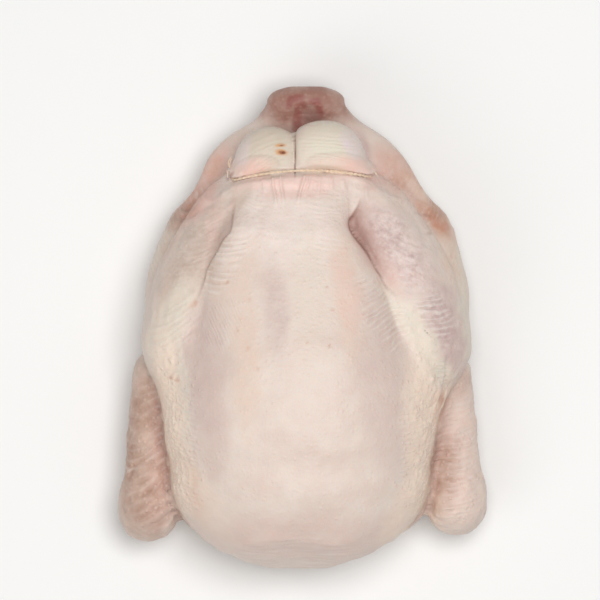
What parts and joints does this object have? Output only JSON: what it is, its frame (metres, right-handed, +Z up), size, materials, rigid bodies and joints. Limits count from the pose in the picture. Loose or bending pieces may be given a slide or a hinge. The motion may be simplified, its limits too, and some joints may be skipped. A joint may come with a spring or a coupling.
{
  "type": "whole raw chicken",
  "caption": "Plucked, oven-ready raw bird lying on its back, wings folded at its sides and both hocks tied over the belly with a thin elastic.",
  "frame": {"origin": "centre of the bird's outline seen from above, at the height of the surface it rests on", "axes": "+Z up out of the breast, +Y towards the tail and hocks, +X to the right when the bird is seen from above with its tail pointing away"},
  "size_m": [0.1864, 0.2434, 0.1091],
  "materials": {
    "skin": "moist raw skin, satin",
    "elastic": "pale cream, matt"
  },
  "bodies": {
    "root": {"chicken": "skin", "leg_tie": "elastic"}
  },
  "joints": []
}
